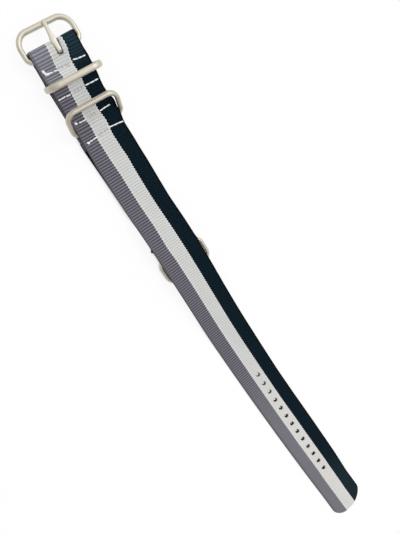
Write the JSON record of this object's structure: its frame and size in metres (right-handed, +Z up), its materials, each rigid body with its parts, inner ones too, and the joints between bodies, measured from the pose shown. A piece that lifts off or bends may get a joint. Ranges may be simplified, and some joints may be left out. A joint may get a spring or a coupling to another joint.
{
  "type": "watch strap",
  "caption": "Striped woven one-piece watch strap with a sewn-in pin buckle, two keeper rings and a short under flap that ends in a third ring.",
  "frame": {"origin": "on the surface that the strap lies on, under the middle of the watch seat, on the centre line of the sewn section", "axes": "+X along the strap from the buckle to the tip, +Y across it to the navy edge, +Z up out of its face"},
  "size_m": [0.2869, 0.0328, 0.0157],
  "materials": {
    "striped_webbing": "matte",
    "metal": "satin",
    "thread": "matte"
  },
  "bodies": {
    "strap": {"main_strap": "striped_webbing", "flap_sewn_end": "striped_webbing", "stitch_row_1": "thread", "stitch_row_2": "thread", "stitch_row_3": "thread", "stitch_row_4": "thread"},
    "frame": {"buckle_frame": "metal"},
    "tongue": {"buckle_tongue": "metal"},
    "front_ring": {"keeper_ring_front": "metal"},
    "rear_ring": {"keeper_ring_rear": "metal"},
    "flap": {"under_flap": "striped_webbing", "flap_loop_stitches": "thread"},
    "end_ring": {"flap_ring": "metal"}
  },
  "joints": [
    {"name": "buckle_swing", "type": "hinge", "parent": "strap", "child": "frame", "pos_m": [-0.06239, 0, 0.00489], "axis": [0, -1, 0], "range_deg": [-75, 75]},
    {"name": "tongue_swing", "type": "hinge", "parent": "frame", "child": "tongue", "pos_m": [-0.06239, 0, 0.00489], "axis": [0, 1, 0], "range_deg": [0, 95]},
    {"name": "front_keeper_swing", "type": "hinge", "parent": "strap", "child": "front_ring", "pos_m": [-0.05191, 0, 0.00426], "axis": [0, 1, 0], "range_deg": [-62, 64]},
    {"name": "rear_keeper_swing", "type": "hinge", "parent": "strap", "child": "rear_ring", "pos_m": [-0.03245, 0, 0.0031], "axis": [0, 1, 0], "range_deg": [-27, 117]},
    {"name": "flap_swing", "type": "hinge", "parent": "strap", "child": "flap", "pos_m": [-0.02575, 0, 0.0003], "axis": [0, 1, 0], "range_deg": [0, 60]},
    {"name": "flap_ring_swing", "type": "hinge", "parent": "flap", "child": "end_ring", "pos_m": [0.03113, 0.00138, 0.00215], "axis": [-0.0489, 0.9988, 0], "range_deg": [0, 150]}
  ]
}
